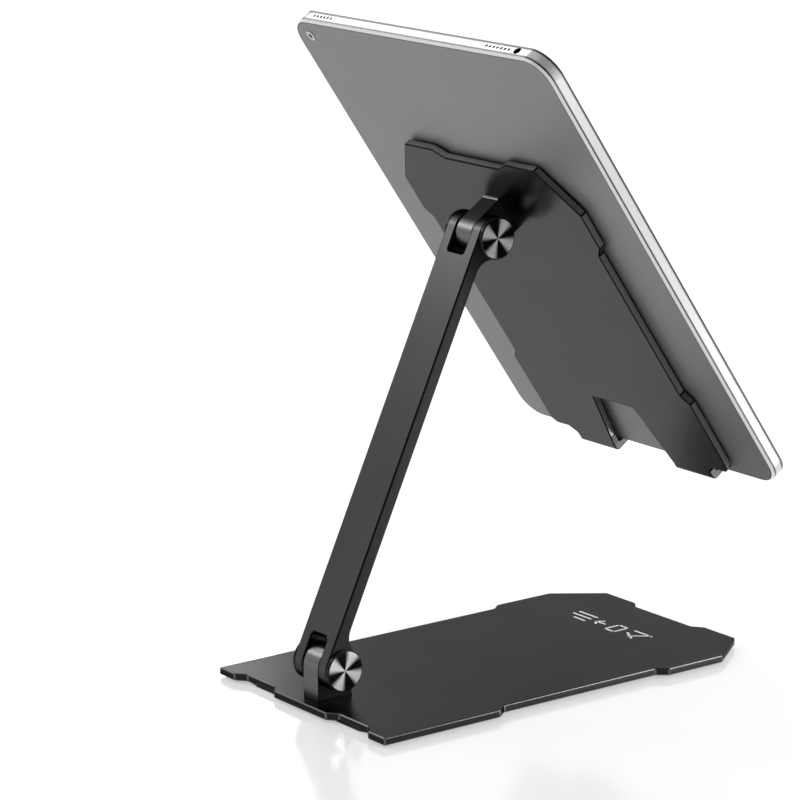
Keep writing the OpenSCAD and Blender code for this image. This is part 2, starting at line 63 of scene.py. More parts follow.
lens = bpy.data.cameras.new("lens")
lens.sensor_width, lens.lens = back_mm, focal_mm
camera = bpy.data.objects.new("camera", lens)
bpy.context.scene.collection.objects.link(camera)
point_camera(camera, camera_place, camera_azimuth, camera_elevation)
bpy.context.scene.camera = camera


# ---------------------------------------------------------------- Studio
# A pale sweep with a faint polish, which gives the soft mirror image under the base,
# and soft boxes over a dim room, so that the black metal keeps its shape.
def new_material(name, **values):
    material = bpy.data.materials.new(name)
    material.use_nodes = True
    tree = material.node_tree
    tree.nodes.clear()
    out = tree.nodes.new("ShaderNodeOutputMaterial")
    shader = tree.nodes.new("ShaderNodeBsdfPrincipled")
    tree.links.new(shader.outputs["BSDF"], out.inputs["Surface"])
    for socket, value in values.items():
        value = (*value, 1) if isinstance(value, tuple) and len(value) == 3 else value
        shader.inputs[socket.replace("_", " ")].default_value = value
    return material, tree, shader


def mesh_piece(name, bm, body=None, material=None):
    mesh = bpy.data.meshes.new(name)
    bm.normal_update()
    bm.to_mesh(mesh)
    bm.free()
    piece = bpy.data.objects.new(name, mesh)
    bpy.context.scene.collection.objects.link(piece)
    if material:
        mesh.materials.append(material)
    if body:
        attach(piece, body)
    return piece


sweep_half, sweep_drop = 6.0, 0.0002
sweep_mesh = bmesh.new()
sweep_mesh.faces.new([sweep_mesh.verts.new((x * sweep_half, y * sweep_half, -sweep_drop))
                      for x, y in ((-1, -1), (1, -1), (1, 1), (-1, 1))])
sweep_white, _, _ = new_material("sweep_white", Base_Color=(0.5, 0.5, 0.5), Roughness=0.12,
                                 Specular_IOR_Level=0.5, Emission_Color=(1, 1, 1),
                                 Emission_Strength=0.47)
mesh_piece("sweep", sweep_mesh, material=sweep_white)

# the room glows, except on the side behind the camera, where a dark curtain hangs
room_glow, curtain_glow = 0.95, 0.05
curtain_side = (-0.70, 0.62, 0.35)
curtain_edge, curtain_full = 0.35, 0.75
world = bpy.data.worlds.new("studio")
bpy.context.scene.world = world
world.use_nodes = True
sky_tree = world.node_tree
sky = sky_tree.nodes["Background"]
facing = sky_tree.nodes.new("ShaderNodeVectorMath")
facing.operation = "DOT_PRODUCT"
facing.inputs[1].default_value = curtain_side
sky_tree.links.new(sky_tree.nodes.new("ShaderNodeTexCoord").outputs["Generated"], facing.inputs[0])
curtain = sky_tree.nodes.new("ShaderNodeMapRange")
curtain.interpolation_type = "SMOOTHSTEP"
for socket, number in (("From Min", curtain_edge), ("From Max", curtain_full),
                       ("To Min", room_glow), ("To Max", curtain_glow)):
    curtain.inputs[socket].default_value = number
sky_tree.links.new(facing.outputs["Value"], curtain.inputs["Value"])
seen = sky_tree.nodes.new("ShaderNodeLightPath")
glow = sky_tree.nodes.new("ShaderNodeMath")
glow.operation = "MAXIMUM"
sky_tree.links.new(seen.outputs["Is Camera Ray"], glow.inputs[0])
sky_tree.links.new(curtain.outputs["Result"], glow.inputs[1])
sky_tree.links.new(glow.outputs["Value"], sky.inputs["Strength"])
sky.inputs["Color"].default_value = (1, 1, 1, 1)
bpy.context.scene.view_settings.view_transform = "Standard"


def soft_box(name, place, target, width, height, watts):
    lamp = bpy.data.lights.new(name, "AREA")
    lamp.shape = "RECTANGLE"
    lamp.size, lamp.size_y, lamp.energy = width, height, watts
    box = bpy.data.objects.new(name, lamp)
    bpy.context.scene.collection.objects.link(box)
    box.location = place
    box.rotation_mode = "QUATERNION"
    box.rotation_quaternion = (Vector(place) - Vector(target)).to_track_quat("Z", "Y")


stand_middle, plate_left, caps_middle = (0, 0, 0.12), (0.06, 0.1, 0), (0, 0.05, 0.1)
soft_box("box_over_left", place=(1.3, 0.1, 1.2), target=stand_middle,
         width=0.55, height=1.0, watts=4.5)
soft_box("box_low_left", place=(1.05, -0.35, 0.33), target=plate_left,
         width=0.45, height=0.3, watts=2.2)
soft_box("box_on_hinges", place=(0.93, 0.55, 0.72), target=stand_middle,
         width=0.3, height=0.3, watts=1.6)
soft_box("box_on_caps", place=(-0.8, -0.9, 0.35), target=caps_middle,
         width=0.5, height=0.5, watts=8)


# ---------------------------------------------------------------- Base plate
# A 3.4 mm aluminium plate, cut to outline, bead blasted and anodised black.
# Its edges are broken by a small bevel, which shows as a fine lighter line: partly the bevel
# catching the light, partly a painted highlight in its lighter colour.
def add_group(name, ins, outs):
    group = bpy.data.node_groups.new(name, "ShaderNodeTree")
    for kind, socket, value in ins:
        made = group.interface.new_socket(socket, in_out="INPUT", socket_type="NodeSocket" + kind)
        made.default_value = value
    for kind, socket in outs:
        group.interface.new_socket(socket, in_out="OUTPUT", socket_type="NodeSocket" + kind)
    return group, group.nodes.new("NodeGroupInput"), group.nodes.new("NodeGroupOutput")


def math_node(tree, operation, a, b=None, c=None):
    node = tree.nodes.new("ShaderNodeMath")
    node.operation = operation
    for i, value in enumerate((a, b, c)):
        if value is None:
            continue
        if isinstance(value, (int, float)):
            node.inputs[i].default_value = value
        else:
            tree.links.new(value, node.inputs[i])
    return node.outputs[0]


def vector_node(tree, operation, a, b):
    """A vector node between two sockets, or between a socket and a fixed vector."""
    node = tree.nodes.new("ShaderNodeVectorMath")
    node.operation = operation
    tree.links.new(a, node.inputs[0])
    if isinstance(b, (tuple, Vector)):
        node.inputs[1].default_value = b
    else:
        tree.links.new(b, node.inputs[1])
    return node.outputs["Value" if operation == "DOT_PRODUCT" else "Vector"]


def noise_node(tree, position, scale, detail=2.0, roughness=0.5):
    node = tree.nodes.new("ShaderNodeTexNoise")
    tree.links.new(position, node.inputs["Vector"])
    if isinstance(scale, (int, float)):
        node.inputs["Scale"].default_value = scale
    else:
        tree.links.new(scale, node.inputs["Scale"])
    node.inputs["Detail"].default_value = detail
    node.inputs["Roughness"].default_value = roughness
    return node.outputs["Fac"]


def mix_colour(tree, factor, a, b):
    node = tree.nodes.new("ShaderNodeMix")
    node.data_type = "RGBA"
    for socket, value in ((node.inputs[0], factor), (node.inputs[6], a), (node.inputs[7], b)):
        if isinstance(value, tuple):
            socket.default_value = (*value, 1)
        else:
            tree.links.new(value, socket)
    return node.outputs[2]


def value_range(tree, value, low, high, to_low=0.0, to_high=1.0, smooth=False):
    node = tree.nodes.new("ShaderNodeMapRange")
    node.interpolation_type = "SMOOTHSTEP" if smooth else "LINEAR"
    tree.links.new(value, node.inputs["Value"])
    for socket, number in (("From Min", low), ("From Max", high),
                           ("To Min", to_low), ("To Max", to_high)):
        node.inputs[socket].default_value = number
    return node.outputs["Result"]


def place_group(tree, group, **inputs):
    node = tree.nodes.new("ShaderNodeGroup")
    node.node_tree = group
    for name, value in inputs.items():
        socket = node.inputs[name.replace("_", " ")]
        if isinstance(value, (int, float, tuple)):
            socket.default_value = value
        else:
            tree.links.new(value, socket)
    return node.outputs


def piece_position(tree):
    return tree.nodes.new("ShaderNodeTexCoord").outputs["Object"]


def bump(tree, shader, height, distance, strength=1.0):
    node = tree.nodes.new("ShaderNodeBump")
    node.inputs["Distance"].default_value = distance
    node.inputs["Strength"].default_value = strength
    tree.links.new(height, node.inputs["Height"])
    tree.links.new(node.outputs["Normal"], shader.inputs["Normal"])


# Bead blasting leaves a fine even grain; the dye takes it a little unevenly.
dye_patches_per_metre, grain_contrast = 38.0, 0.25
noise_middle = 0.5
blasted, into, out_of = add_group(
    "bead_blasted", [("Vector", "Position", (0, 0, 0)), ("Float", "Grains per metre", 2600.0),
                     ("Color", "Colour", (0.5, 0.5, 0.5, 1)), ("Float", "Tone change", 0.12),
                     ("Float", "Roughness", 0.4), ("Float", "Roughness change", 0.06)],
    [("Color", "Colour"), ("Float", "Roughness"), ("Float", "Height")])
grain = noise_node(blasted, into.outputs["Position"], into.outputs["Grains per metre"],
                   detail=3.0, roughness=0.6)
cloud = noise_node(blasted, into.outputs["Position"], dye_patches_per_metre)
tone = math_node(blasted, "MULTIPLY_ADD", math_node(blasted, "SUBTRACT", cloud, noise_middle),
                 into.outputs["Tone change"], 1.0)
grain_change = math_node(blasted, "SUBTRACT", grain, noise_middle)
speckle = math_node(blasted, "MULTIPLY_ADD", grain_change, grain_contrast, tone)
shade = blasted.nodes.new("ShaderNodeVectorMath")
shade.operation = "SCALE"
blasted.links.new(into.outputs["Colour"], shade.inputs[0])
blasted.links.new(speckle, shade.inputs["Scale"])
blasted.links.new(shade.outputs[0], out_of.inputs["Colour"])
blasted.links.new(math_node(blasted, "MULTIPLY_ADD", grain_change,
                            into.outputs["Roughness change"], into.outputs["Roughness"]),
                  out_of.inputs["Roughness"])
blasted.links.new(grain, out_of.inputs["Height"])

# Painted light and shade: the cut walls of a piece get a tone of their own, set apart from its two
# large faces by how the light falls on them.
# The limits are cosines of the angle from a large face's normal.
wall_limit, face_limit = 0.35, 0.6
wall_painted_shading, into, out_of = add_group(
    "wall_painted_shading", [("Vector", "Normal", (0, 0, 1)), ("Vector", "Face", (0, 0, 1)),
                  ("Color", "Face colour", (0.5, 0.5, 0.5, 1)),
                  ("Color", "Wall colour", (0.5, 0.5, 0.5, 1)),
                  ("Vector", "Position", (0, 0, 0)), ("Vector", "Along", (0, 0, 1)),
                  ("Float", "From", -1.0)],
    [("Color", "Colour")])
to_face = vector_node(wall_painted_shading, "DOT_PRODUCT", into.outputs["Normal"], into.outputs["Face"])
painted_wall = value_range(wall_painted_shading, math_node(wall_painted_shading, "ABSOLUTE", to_face),
                   wall_limit, face_limit, to_low=1, to_high=0)
distance_along = vector_node(wall_painted_shading, "DOT_PRODUCT", into.outputs["Position"],
                             into.outputs["Along"])
painted_wall = math_node(wall_painted_shading, "MULTIPLY", painted_wall,
                 math_node(wall_painted_shading, "GREATER_THAN", distance_along, into.outputs["From"]))
wall_painted_shading.links.new(
    mix_colour(wall_painted_shading, painted_wall, into.outputs["Face colour"], into.outputs["Wall colour"]),
    out_of.inputs["Colour"])

grain_height = 0.000006


def anodised(name, colour, roughness, grazing, face=None, painted_wall_tone=None, along=(0, 0, 1), start=-1.0):
    """Blasted and dyed aluminium; `face` is the normal of the large faces. The other faces, beyond
    `start` metres along `along`, get a tone of their own: painted light where it is lighter,
    painted shade where darker."""
    material, tree, shader = new_material(name, Metallic=1.0, Specular_Tint=(grazing,) * 3)
    finish = place_group(tree, blasted, Position=piece_position(tree), Colour=(*colour, 1),
                         Roughness=roughness, Tone_change=0.2)
    tone = finish["Colour"]
    if face:
        normal = tree.nodes.new("ShaderNodeTexCoord").outputs["Normal"]
        tone = place_group(tree, wall_painted_shading, Normal=normal, Face=tuple(face), Face_colour=tone,
                           Wall_colour=(painted_wall_tone, painted_wall_tone, painted_wall_tone, 1), Position=piece_position(tree),
                           Along=tuple(along), From=start)["Colour"]
    tree.links.new(tone, shader.inputs["Base Color"])
    tree.links.new(finish["Roughness"], shader.inputs["Roughness"])
    bump(tree, shader, finish["Height"], grain_height, strength=0.5)
    return material


same_point = 0.000002
same_plane, sharp_edge = math.radians(0.6), math.radians(32)
large_face_weight = 80


def finish_node(node, material, edge=None, steps=2, edge_material=None):
    """Gives a machined piece its material, and breaks its sharp edges by `edge` metres."""
    piece = nodes[node]
    piece.data.materials.clear()
    piece.data.materials.append(material)
    if edge_material:
        piece.data.materials.append(edge_material)
    if edge:
        weld = piece.modifiers.new("join_faces", "WELD")
        weld.merge_threshold = same_point
        flats = piece.modifiers.new("whole_faces", "DECIMATE")
        flats.decimate_type, flats.angle_limit = "DISSOLVE", same_plane
        broken = piece.modifiers.new("broken_edges", "BEVEL")
        broken.width, broken.segments = edge, steps
        broken.limit_method, broken.angle_limit = "ANGLE", sharp_edge
        broken.use_clamp_overlap = False
        broken.miter_outer = "MITER_ARC"
        broken.material = 1 if edge_material else -1
        smooth = piece.modifiers.new("even_shading", "WEIGHTED_NORMAL")
        smooth.keep_sharp = False
        smooth.weight = large_face_weight
        piece.data.polygons.foreach_set("use_smooth", [True] * len(piece.data.polygons))


# the plate's cut walls are painted darker than its large faces: painted shade
plate_black = anodised("plate_black", (0.077, 0.077, 0.079), roughness=0.24, grazing=0.43,
                       face=(0, 0, 1), painted_wall_tone=0.024)
bevel_painted_highlight = anodised("bevel_painted_highlight", (0.11, 0.11, 0.112), roughness=0.22, grazing=0.3)
finish_node("base_plate", plate_black, edge=0.0006, edge_material=bevel_painted_highlight)

# ---------------------------------------------------------------- Printed mark on the base
# A small white pad print near the front: a folded stand, a tablet, an arrow and two rules.
# It is a film of ink, drawn here as thin raised shapes.
mark_middle = Vector((0.004, -0.071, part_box("base_plate")[1].z))
ink_t, line_w = 0.00004, 0.0011
round_end_points = 7
ink_white, ink_tree, ink_shader = new_material("ink_white", Roughness=0.55,
                                               Specular_IOR_Level=0.3)
ink_grain = noise_node(ink_tree, piece_position(ink_tree), scale=1800.0)
ink_tree.links.new(mix_colour(ink_tree, ink_grain, (0.78, 0.78, 0.78), (0.9, 0.9, 0.9)),
                   ink_shader.inputs["Base Color"])


def ink_shape(bm, outline):
    low = [bm.verts.new((x, y, 0)) for x, y in outline]
    high = [bm.verts.new((x, y, ink_t)) for x, y in outline]
    bm.faces.new(high)
    bm.faces.new(list(reversed(low)))
    for i in range(len(low)):
        j = (i + 1) % len(low)
        bm.faces.new((low[i], low[j], high[j], high[i]))


def ink_bar(bm, a, b):
    """A stroke from a to b with round ends."""
    a, b = Vector(a), Vector(b)
    along = (b - a).normalized()
    side = Vector((-along.y, along.x))
    outline = []
    for middle, turn in ((b, 0), (a, math.pi)):
        for k in range(round_end_points):
            t = turn - math.pi / 2 + k * math.pi / (round_end_points - 1)
            outline.append(middle + along * math.cos(t) * line_w / 2
                           + side * math.sin(t) * line_w / 2)
    ink_shape(bm, outline)


# ends of the strokes from the mark's middle, in metres
folded_stand = (((-0.0245, -0.004), (-0.0135, -0.004)), ((-0.0235, -0.004), (-0.0175, 0.0035)),
                ((-0.0205, 0.0045), (-0.0135, 0.0005)))
small_tablet = (((-0.0085, -0.004), (-0.0025, -0.004)), ((-0.0025, -0.004), (-0.0025, 0.0045)),
                ((-0.0025, 0.0045), (-0.0085, 0.0045)), ((-0.0085, 0.0045), (-0.0085, -0.004)))
arrow = (((0.0025, 0.0002), (0.0085, 0.0002)), ((0.0085, 0.0002), (0.006, 0.0028)),
         ((0.0085, 0.0002), (0.006, -0.0024)))
rules = (((0.0125, -0.0035), (0.0245, -0.0035)), ((0.0125, 0.0002), (0.0245, 0.0002)),
         ((0.0125, 0.004), (0.0195, 0.004)))
mark = bmesh.new()
for a, b in folded_stand + small_tablet + arrow + rules:
    ink_bar(mark, a, b)
bmesh.ops.translate(mark, verts=mark.verts, vec=mark_middle)
mesh_piece("base_printed_mark", mark, "base", ink_white)

# ---------------------------------------------------------------- Rubber strips
# Two die-cut strips of black rubber under the plate, at its front and under the hinge.
# They are glued into shallow recesses and stand a little proud of them.
rubber_mottle = 0.3


def rubber(name, tone):
    material, tree, shader = new_material(name, Roughness=0.8, Specular_IOR_Level=0.25)
    place = piece_position(tree)
    dark, light = (tone * (1 - rubber_mottle),) * 3, (tone * (1 + rubber_mottle),) * 3
    tree.links.new(mix_colour(tree, noise_node(tree, place, scale=900.0, detail=4.0), dark, light),
                   shader.inputs["Base Color"])
    bump(tree, shader, noise_node(tree, place, scale=1700.0, detail=3.0), distance=0.00003)
    return material


rubber_black = rubber("rubber_black", tone=0.02)
finish_node("base_rubber_strips", rubber_black, edge=0.0002)

# ---------------------------------------------------------------- Lower lug
# A machined aluminium lug with a rounded top, which carries the lower hinge's bolt.
# It stands on the plate, with a small hollow blend at its foot, and is screwed on from below.
pin_line = Vector((1, 0, 0))
lug_edge = 0.00025
# the lug's two sides across the pin are painted darker than its other faces: painted shade; the
# holder's lug shares it
lug_black = anodised("lug_black", (0.045, 0.045, 0.046), roughness=0.3, grazing=0.3,
                     face=pin_line, painted_wall_tone=0.14)
finish_node("base_lug", lug_black, edge=lug_edge)

# ---------------------------------------------------------------- Screws
# Zinc-plated countersunk steel screws with a hexagon socket. They hold the two lugs,
# with their heads under the rear rubber strip and under the holder's pad.
dull_spots, smoothest, roughest = 0.8, 0.7, 1.3


def plated_steel(name, colour, roughness):
    material, tree, shader = new_material(name, Metallic=1.0)
    place = piece_position(tree)
    duller = tuple(c * dull_spots for c in colour)
    spots = noise_node(tree, place, scale=400.0, detail=3.0)
    tree.links.new(mix_colour(tree, spots, duller, colour), shader.inputs["Base Color"])
    wiped = noise_node(tree, place, scale=1500.0)
    tree.links.new(value_range(tree, wiped, 0, 1, roughness * smoothest, roughness * roughest),
                   shader.inputs["Roughness"])
    return material


zinc = plated_steel("zinc", (0.62, 0.61, 0.58), roughness=0.32)
for screws in ("base_lug_screws", "holder_lug_screws"):
    finish_node(screws, zinc)

# ---------------------------------------------------------------- Arm
# A bar forked at both ends, milled from thick aluminium plate, blasted and anodised
# like the base. Its sides are painted darker than its front and back, as painted shade, and its
# broken edges carry a painted dark line, a painted reflection of the dark room.
lower_pin, upper_pin = [sum(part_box(hinge + "_hinge_caps"), Vector()) / 2
                        for hinge in ("lower", "upper")]
arm_face = pin_line.cross((upper_pin - lower_pin).normalized())
arm_black = anodised("arm_black", (0.068, 0.068, 0.07), roughness=0.26, grazing=0.3,
                     face=arm_face, painted_wall_tone=0.025)
bevel_painted_dark_line = anodised("bevel_painted_dark_line", (0.02, 0.02, 0.021), roughness=0.3, grazing=0.1)
finish_node("arm", arm_black, edge=0.0007, steps=3, edge_material=bevel_painted_dark_line)

# ---------------------------------------------------------------- Hinge hardware
# A steel bolt and lock nut, dished spring washers, and acetal friction washers between
# the lug and the ears of the fork. They are stacked through each fork and pinch the lug.
acetal, acetal_tree, acetal_shader = new_material("acetal", Roughness=0.45,
                                                  Subsurface_Weight=0.05)
acetal_mottle = noise_node(acetal_tree, piece_position(acetal_tree), scale=700.0)
acetal_tree.links.new(mix_colour(acetal_tree, acetal_mottle, (0.70, 0.68, 0.60),
                                 (0.80, 0.78, 0.70)), acetal_shader.inputs["Base Color"])
spring_steel = plated_steel("spring_steel", (0.36, 0.35, 0.33), roughness=0.38)
for hinge in ("lower", "upper"):
    finish_node(hinge + "_hinge_bolt", zinc)
    finish_node(hinge + "_hinge_nut", zinc)
    finish_node(hinge + "_spring_washers", spring_steel)
    finish_node(hinge + "_friction_washers", acetal)

# ---------------------------------------------------------------- Hinge caps
# Turned aluminium discs pressed into the ears of the forks. Their face is spun in fine rings;
# the four bright fans on it are a painted reflection, inside a narrow black rim.
around_pin, into, out_of = add_group(
    "around_pin", [("Vector", "Position", (0, 0, 0)), ("Vector", "Pin", (0, 0, 0))],
    [("Float", "Radius"), ("Float", "Turn")])
parts = around_pin.nodes.new("ShaderNodeSeparateXYZ")
around_pin.links.new(
    vector_node(around_pin, "SUBTRACT", into.outputs["Position"], into.outputs["Pin"]),
    parts.inputs[0])
y, z = parts.outputs["Y"], parts.outputs["Z"]
squares = math_node(around_pin, "ADD", math_node(around_pin, "MULTIPLY", y, y),
                    math_node(around_pin, "MULTIPLY", z, z))
around_pin.links.new(math_node(around_pin, "SQRT", squares), out_of.inputs["Radius"])
around_pin.links.new(math_node(around_pin, "ARCTAN2", z, y), out_of.inputs["Turn"])

spun_edge, cap_rim = 0.0083, 0.0087
fan_count, fan_turn = 4.0, -2.0
pair_turn, pair_change = 0.4, 0.18
fan_dark, fan_bright = -0.6, 0.9
rings_per_metre, ring_height = 9000.0, 0.000004


def spun_cap(name, pin):
    material, tree, shader = new_material(name, Metallic=0.25, Anisotropic=0.3,
                                          Specular_IOR_Level=0.1)
    polar = place_group(tree, around_pin, Position=piece_position(tree), Pin=pin)
    # painted reflection: bright and dark fans set in the colour by the angle round the pin
    painted_glint_fans = math_node(tree, "COSINE", math_node(tree, "MULTIPLY_ADD", polar["Turn"],
                                               fan_count, fan_turn))
    uneven = math_node(tree, "COSINE", math_node(tree, "MULTIPLY_ADD", polar["Turn"],
                                                 fan_count / 2, pair_turn))
    painted_glint_fans = math_node(tree, "MULTIPLY_ADD", uneven, pair_change, painted_glint_fans)
    painted_glint_fans = value_range(tree, painted_glint_fans, fan_dark, fan_bright, smooth=True)
    rings = tree.nodes.new("ShaderNodeTexNoise")
    rings.noise_dimensions = "1D"
    rings.inputs["Scale"].default_value = rings_per_metre
    rings.inputs["Detail"].default_value = 3.0
    tree.links.new(polar["Radius"], rings.inputs["W"])
    painted_glint = mix_colour(tree, rings.outputs["Fac"], (0.9, 0.9, 0.91), (1.0, 1.0, 1.0))
    face = mix_colour(tree, painted_glint_fans, (0.004, 0.004, 0.004), painted_glint)
    rim = value_range(tree, polar["Radius"], spun_edge, cap_rim)
    tree.links.new(mix_colour(tree, rim, face, (0.02, 0.02, 0.021)), shader.inputs["Base Color"])
    tree.links.new(value_range(tree, rings.outputs["Fac"], 0, 1, to_low=0.14, to_high=0.24),
                   shader.inputs["Roughness"])
    spin = tree.nodes.new("ShaderNodeTangent")
    spin.direction_type, spin.axis = "RADIAL", "X"
    tree.links.new(spin.outputs[0], shader.inputs["Tangent"])
    bump(tree, shader, rings.outputs["Fac"], ring_height)
    return material


for hinge, pin in (("lower", lower_pin), ("upper", upper_pin)):
    finish_node(hinge + "_hinge_caps", spun_cap(hinge + "_spun_face", tuple(pin)))

# ---------------------------------------------------------------- Holder
# A plate like the base, with its two hooks bent up from the lower edge and lined with
# rubber. Its own lug is screwed on, with the screws' heads under the rubber pad.
up = Vector(next(j for j in frame["joints"] if j["name"] == "tablet_lift")["axis"]).normalized()
out = up.cross(pin_line).normalized() * -1
shell_points = [v.co for v in nodes["tablet_back_shell"].data.vertices]
shell_low = min(up.dot(p) for p in shell_points)
hook_top = 0.0055
# the plate's cut walls above the hooks are painted lighter than its large faces: painted light;
# its bevels carry the painted dark line
holder_black = anodised("holder_black", (0.066, 0.066, 0.068), roughness=0.24, grazing=0.64,
                        face=out, painted_wall_tone=0.3, along=up, start=shell_low + hook_top)
finish_node("holder_plate", holder_black, edge=0.0005, edge_material=bevel_painted_dark_line)
finish_node("holder_lug", lug_black, edge=lug_edge)
finish_node("holder_pad", rubber_black)
finish_node("hook_pads", rubber_black, edge=0.0001)

# ---------------------------------------------------------------- Tablet shell
# Machined aluminium, bead blasted to a silver grey, with its side keys cut from the same
# metal. The edge round the back is cut again after blasting and left bright; its brightness is
# partly a painted highlight, and the bands round the side carry painted light and shade.
tablet_foot = up * shell_low + out * min(out.dot(p) for p in shell_points)
tablet_high = max(up.dot(p) for p in shell_points) - shell_low
tablet_wide = 2 * max(p.x for p in shell_points)
tablet_corner = 0.012

# Inset is how far a point lies inside the tablet's rounded outline.
on_tablet, into, out_of = add_group(
    "on_tablet", [("Vector", "Position", (0, 0, 0))],
    [("Float", "Across"), ("Float", "Along"), ("Float", "Out"), ("Float", "Inset")])
from_foot = vector_node(on_tablet, "SUBTRACT", into.outputs["Position"], tablet_foot)
across = vector_node(on_tablet, "DOT_PRODUCT", from_foot, pin_line)
along = vector_node(on_tablet, "DOT_PRODUCT", from_foot, up)
outward = vector_node(on_tablet, "DOT_PRODUCT", from_foot, out)
for socket, distance in (("Across", across), ("Along", along), ("Out", outward)):
    on_tablet.links.new(distance, out_of.inputs[socket])
squares = []
for distance, half in ((across, tablet_wide / 2),
                       (math_node(on_tablet, "SUBTRACT", along, tablet_high / 2),
                        tablet_high / 2)):
    past_corner = math_node(on_tablet, "SUBTRACT", math_node(on_tablet, "ABSOLUTE", distance),
                            half - tablet_corner)
    past_corner = math_node(on_tablet, "MAXIMUM", past_corner, 0.0)
    squares.append(math_node(on_tablet, "MULTIPLY", past_corner, past_corner))
reach = math_node(on_tablet, "SQRT", math_node(on_tablet, "ADD", *squares))
on_tablet.links.new(math_node(on_tablet, "SUBTRACT", tablet_corner, reach),
                    out_of.inputs["Inset"])

shell_silver, tree, shader = new_material("shell_silver", Metallic=0.3, Specular_IOR_Level=0.5)
place = piece_position(tree)
lie = place_group(tree, on_tablet, Position=place)
finish = place_group(tree, blasted, Position=place, Colour=(0.195, 0.195, 0.199, 1),
                     Roughness=0.42, Grains_per_metre=3600.0, Tone_change=0.06)
# a dark line painted just inside the cut edge: painted shade where the back turns into the edge
line_start, line_full, line_last, line_end = 0.0010, 0.0012, 0.0013, 0.0017
line_strength = 0.8
painted_shade_line = math_node(tree, "MULTIPLY", value_range(tree, lie["Inset"], line_start, line_full),
                 value_range(tree, lie["Inset"], line_end, line_last))
colour = mix_colour(tree, math_node(tree, "MULTIPLY", painted_shade_line, line_strength), finish["Colour"],
                    (0.05, 0.05, 0.05))
# bands round the side, from the back forward: where each starts, is full, thins and ends
# the bright cut is partly a painted highlight, the dark band after it is painted shade, the
# polished side is partly painted light
bright_cut_painted_highlight = (0.00004, 0.0001, 0.00098, 0.00105, (0.88, 0.88, 0.89))
painted_dark_band = (0.00098, 0.00105, 0.0017, 0.0022, (0.05, 0.05, 0.052))
polished_side_painted_light = (0.0017, 0.0022, 0.0052, 0.0058, (0.6, 0.6, 0.61))
dark_seal = (0.0055, 0.0062, 0.01, 0.011, (0.02, 0.02, 0.02))
band_depth, skin_depth = 0.0013, 0.0011
polish = 0.26
polished = 0.0
for start, full, last, end, tone in (bright_cut_painted_highlight, painted_dark_band, polished_side_painted_light, dark_seal):
    band = math_node(tree, "MULTIPLY", value_range(tree, lie["Out"], start, full),
                     value_range(tree, lie["Out"], end, last))
    band = math_node(tree, "MULTIPLY", band,
                     value_range(tree, lie["Inset"], band_depth, skin_depth))
    colour = mix_colour(tree, band, colour, tone)
    polished = math_node(tree, "MAXIMUM", band, polished)
# inside the openings along the edges the metal is painted dark, as painted shade in the holes; the
# keys lie in a trough on the sides, so the skin there is taken a little deeper
end_skin, trough_skin, side_zone = 0.00008, 0.0006, 0.001
bore_start, bore_full = 0.0014, 0.0016
on_side = math_node(tree, "GREATER_THAN", math_node(tree, "ABSOLUTE", lie["Across"]),
                    tablet_wide / 2 - side_zone)
skin = math_node(tree, "MULTIPLY_ADD", on_side, trough_skin, end_skin)
painted_hole_shade = math_node(tree, "MULTIPLY", math_node(tree, "GREATER_THAN", lie["Inset"], skin),
                  value_range(tree, lie["Out"], bore_start, bore_full))
colour = mix_colour(tree, painted_hole_shade, colour, (0.01, 0.01, 0.01))
tree.links.new(colour, shader.inputs["Base Color"])
tree.links.new(math_node(tree, "MULTIPLY_ADD", polished, -polish, finish["Roughness"]),
               shader.inputs["Roughness"])
bump(tree, shader, finish["Height"], distance=0.000008, strength=0.4)
finish_node("tablet_back_shell", shell_silver)
for key in ("power_button", "volume_up_button", "volume_down_button"):
    finish_node(key, shell_silver, edge=0.00015)

# ---------------------------------------------------------------- Screen
# Cover glass with a black border printed on its inner face, over a lit panel
# that shows a still picture: a sunlit ridge under a clear sky.
cover_glass, tree, shader = new_material("cover_glass", Base_Color=(1, 1, 1), IOR=1.5,
                                         Transmission_Weight=1.0)
smears = noise_node(tree, piece_position(tree), scale=60.0, detail=4.0, roughness=0.6)
tree.links.new(value_range(tree, smears, low=0.35, high=0.8, to_low=0.0, to_high=0.06),
               shader.inputs["Roughness"])
finish_node("tablet_cover_glass", cover_glass, edge=0.00025)


def tablet_point(across, along, outward):
    return tablet_foot + pin_line * across + up * along + out * outward


def rounded_loop(half_w, low, high, radius, steps=8):
    """Corner points of a rounded rectangle on the tablet, anticlockwise from the front."""
    loop = []
    for turn, (side, y) in enumerate(((1, low), (1, high), (-1, high), (-1, low))):
        middle = (side * (half_w - radius), y + radius if y == low else y - radius)
        for k in range(steps + 1):
            t = math.pi / 2 * (turn - 1 + k / steps)
            loop.append((middle[0] + radius * math.cos(t), middle[1] + radius * math.sin(t)))
    return loop


# the border runs from near the glass's edge to just over the panel's lit part,
# with a round window for the front camera
border_lap, border_corner = 0.0006, 0.0015
border_t, behind_glass, glass_edge = 0.000008, 0.000014, 0.0007
window_r, window_points = 0.0017, 24
panel_points = [v.co - tablet_foot for v in nodes["tablet_display_panel"].data.vertices]
lit_low = min(up.dot(p) for p in panel_points) + border_lap
lit_high = max(up.dot(p) for p in panel_points) - border_lap
lit_half = max(p.x for p in panel_points) - border_lap
glass_back = min(out.dot(v.co - tablet_foot) for v in nodes["tablet_cover_glass"].data.vertices)
camera_low, camera_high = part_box("tablet_front_camera")
window_along = up.dot((camera_low + camera_high) / 2 - tablet_foot)
window_turns = [k * 2 * math.pi / window_points for k in range(window_points)]
border = bmesh.new()
loops = [rounded_loop(tablet_wide / 2 - glass_edge, glass_edge, tablet_high - glass_edge,
                      tablet_corner - glass_edge),
         rounded_loop(lit_half, lit_low, lit_high, border_corner, 4),
         [(window_r * math.cos(t), window_along + window_r * math.sin(t)) for t in window_turns]]
rims = []
